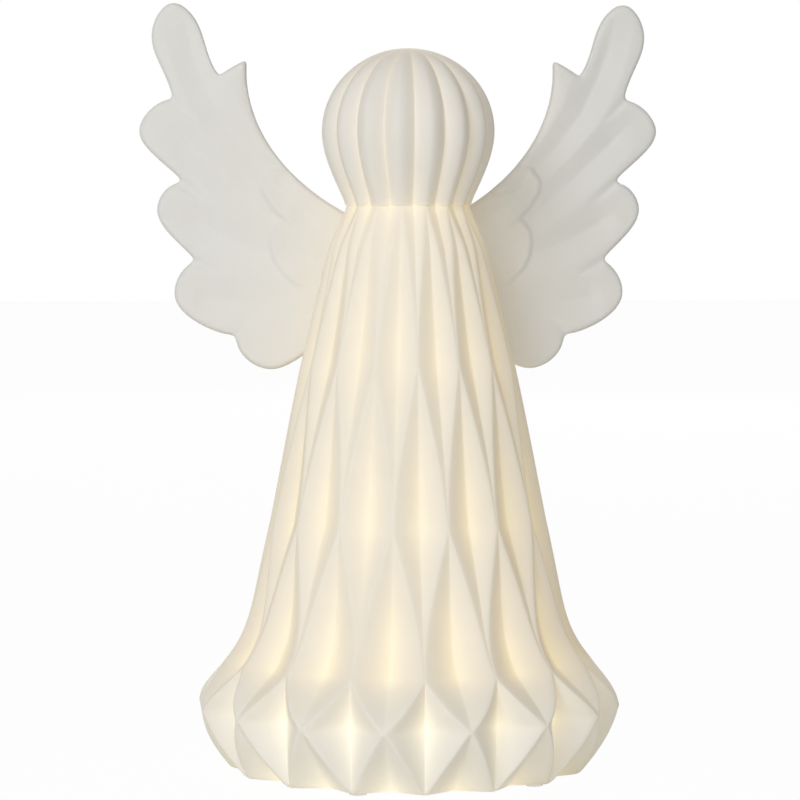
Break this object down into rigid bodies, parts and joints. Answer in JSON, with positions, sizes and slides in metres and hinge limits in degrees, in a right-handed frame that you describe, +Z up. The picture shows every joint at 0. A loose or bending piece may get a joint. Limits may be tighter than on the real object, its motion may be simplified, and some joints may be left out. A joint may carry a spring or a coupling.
{
  "type": "lit porcelain angel figurine",
  "caption": "Free-standing pleated porcelain angel with a fluted ball head and feathered wings, lit from inside by a removable battery light unit in its foot.",
  "frame": {"origin": "on the table under the axis of the dress", "axes": "+Z up, front towards -Y, +X to the viewer's right, wings at the back (+Y)"},
  "size_m": [0.2006, 0.1616, 0.29],
  "materials": {
    "porcelain": "unglazed matte white porcelain, lets warm light through",
    "clear_silicone": "milky silicone",
    "white_plastic": "moulded white ABS, fine texture",
    "frosted_plastic": "frosted polycarbonate",
    "zinc_steel": "zinc plated",
    "nickel_contact": "nickel plated spring steel",
    "board_white": "white solder mask",
    "led_yellow": "phosphor yellow",
    "black_plastic": "moulded black",
    "grey_plastic": "moulded grey",
    "copper_wire": "tinned copper",
    "cell_sleeve": "plain printed-free sleeve"
  },
  "bodies": {
    "angel": {"dress_lower": "porcelain", "dress_upper": "porcelain", "head": "porcelain", "wing_left": "porcelain", "wing_right": "porcelain", "foot_pads": "clear_silicone"},
    "light_unit": {"housing_base": "white_plastic", "housing_lid": "white_plastic", "housing_screws": "zinc_steel", "grip_ring": "clear_silicone", "light_diffuser": "frosted_plastic", "circuit_board": "board_white", "led_emitters": "led_yellow", "control_chip": "black_plastic", "switch_body": "black_plastic", "switch_leads": "copper_wire", "door_hinge_pin": "zinc_steel", "contact_springs": "nickel_contact", "positive_terminal": "nickel_contact", "negative_terminal": "nickel_contact", "bridge_contact_left": "nickel_contact", "bridge_contact_right": "nickel_contact", "battery_cell_1": "cell_sleeve", "battery_cell_2": "cell_sleeve", "battery_cell_3": "cell_sleeve"},
    "battery_door": {"battery_door": "white_plastic"},
    "door_screw": {"door_screw": "zinc_steel"},
    "switch_slider": {"switch_slider": "grey_plastic"}
  },
  "joints": [
    {"name": "light_unit_pull", "type": "slide", "parent": "angel", "child": "light_unit", "axis": [0, 0, -1], "range_m": [0, 0.055]},
    {"name": "battery_door_hinge", "type": "hinge", "parent": "light_unit", "child": "battery_door", "pos_m": [-0.03335, 0, 0.0035], "axis": [0, 1, 0], "range_deg": [0, 95]},
    {"name": "door_screw_turn", "type": "hinge", "parent": "battery_door", "child": "door_screw", "pos_m": [0.0348, 0, 0.0035], "axis": [0, 0, 1], "continuous": true},
    {"name": "switch_slide", "type": "slide", "parent": "light_unit", "child": "switch_slider", "axis": [1, 0, 0], "range_m": [0, 0.004]}
  ]
}
